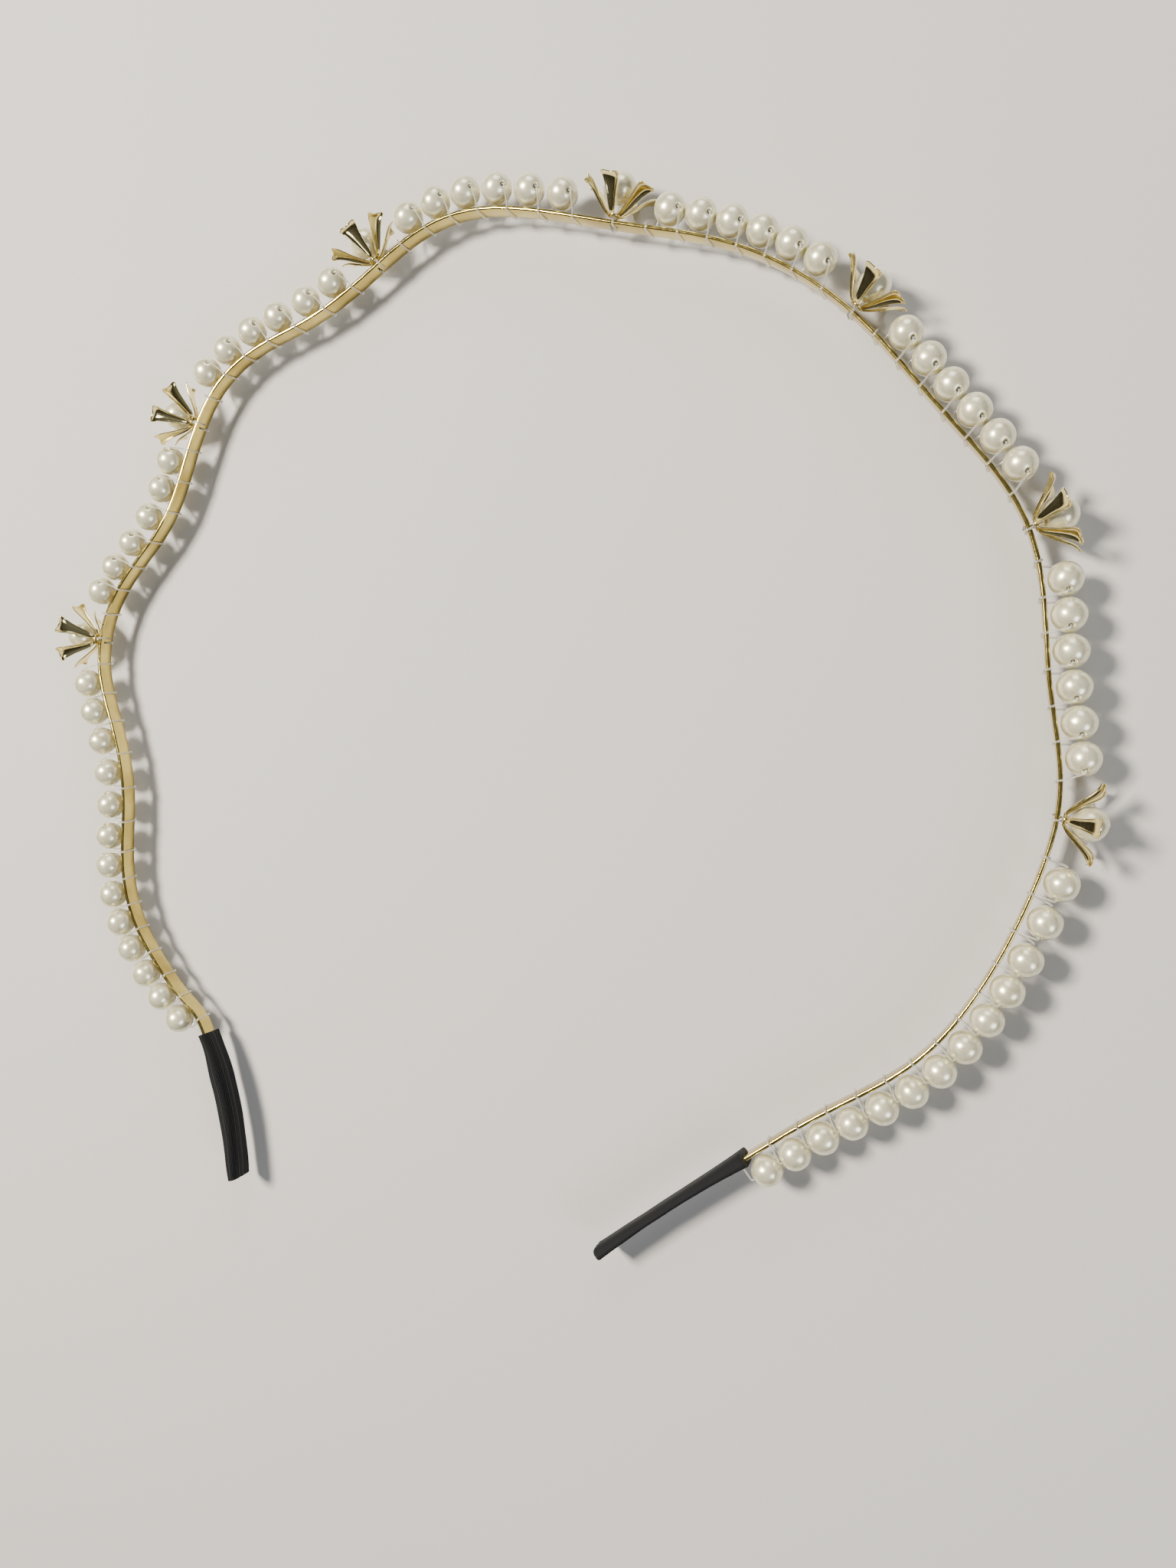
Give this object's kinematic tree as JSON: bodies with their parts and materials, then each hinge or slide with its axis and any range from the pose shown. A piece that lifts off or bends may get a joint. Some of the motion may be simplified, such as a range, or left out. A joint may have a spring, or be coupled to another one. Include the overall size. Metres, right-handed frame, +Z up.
{
  "type": "headband",
  "caption": "Open headband: a thin gold strip on edge, strung with ivory pearls and small petalled flowers on clear thread, with dark fabric sleeves on its tips.",
  "frame": {"origin": "under the middle of the headband's box, on the surface that it lies on", "axes": "+Z up through the width of the strip, with the headband lying flat; +Y from the open ends towards the crown; +X towards the wearer's right-hand arm in the view from above"},
  "size_m": [0.1584, 0.1564, 0.0106],
  "materials": {
    "gold_strip": "polished pale gold plate",
    "gold_cup": "polished gold plate",
    "pearl": "soft pearl lustre",
    "nylon_thread": "clear gloss",
    "sleeve_fabric": "ribbed matte weave"
  },
  "bodies": {
    "headband": {"strip": "gold_strip", "sleeve_left": "sleeve_fabric", "sleeve_right": "sleeve_fabric", "pearls_left_arm": "pearl", "thread_left_arm": "nylon_thread", "pearls_1_2": "pearl", "thread_1_2": "nylon_thread", "pearls_2_3": "pearl", "thread_2_3": "nylon_thread", "pearls_3_4": "pearl", "thread_3_4": "nylon_thread", "pearls_4_5": "pearl", "thread_4_5": "nylon_thread", "pearls_5_6": "pearl", "thread_5_6": "nylon_thread", "pearls_6_7": "pearl", "thread_6_7": "nylon_thread", "pearls_right_arm": "pearl", "thread_right_arm": "nylon_thread", "flower_pearl_1": "pearl", "flower_tie_1": "nylon_thread", "flower_pearl_2": "pearl", "flower_tie_2": "nylon_thread", "flower_pearl_3": "pearl", "flower_tie_3": "nylon_thread", "flower_pearl_4": "pearl", "flower_tie_4": "nylon_thread", "flower_pearl_5": "pearl", "flower_tie_5": "nylon_thread", "flower_pearl_6": "pearl", "flower_tie_6": "nylon_thread", "flower_pearl_7": "pearl", "flower_tie_7": "nylon_thread"},
    "flower_1": {"flower_cup_1": "gold_cup"},
    "flower_2": {"flower_cup_2": "gold_cup"},
    "flower_3": {"flower_cup_3": "gold_cup"},
    "flower_4": {"flower_cup_4": "gold_cup"},
    "flower_5": {"flower_cup_5": "gold_cup"},
    "flower_6": {"flower_cup_6": "gold_cup"},
    "flower_7": {"flower_cup_7": "gold_cup"}
  },
  "joints": [
    {"name": "flower_turn_1", "type": "hinge", "parent": "headband", "child": "flower_1", "pos_m": [-0.07369, 0.01353, 0.00529], "axis": [-0.9804, 0.1968, 0], "continuous": true},
    {"name": "flower_turn_2", "type": "hinge", "parent": "headband", "child": "flower_2", "pos_m": [-0.05438, 0.04707, 0.00529], "axis": [-0.8967, 0.4427, 0], "continuous": true},
    {"name": "flower_turn_3", "type": "hinge", "parent": "headband", "child": "flower_3", "pos_m": [-0.02196, 0.06801, 0.00529], "axis": [-0.5466, 0.8374, 0], "continuous": true},
    {"name": "flower_turn_4", "type": "hinge", "parent": "headband", "child": "flower_4", "pos_m": [0.01521, 0.06892, 0.00529], "axis": [0.2807, 0.9598, 0], "continuous": true},
    {"name": "flower_turn_5", "type": "hinge", "parent": "headband", "child": "flower_5", "pos_m": [0.04823, 0.05247, 0.00529], "axis": [0.716, 0.6981, 0], "continuous": true},
    {"name": "flower_turn_6", "type": "hinge", "parent": "headband", "child": "flower_6", "pos_m": [0.07026, 0.02243, 0.00529], "axis": [0.9399, 0.3415, 0], "continuous": true},
    {"name": "flower_turn_7", "type": "hinge", "parent": "headband", "child": "flower_7", "pos_m": [0.07367, -0.01471, 0.00529], "axis": [0.9853, -0.171, 0], "continuous": true}
  ]
}
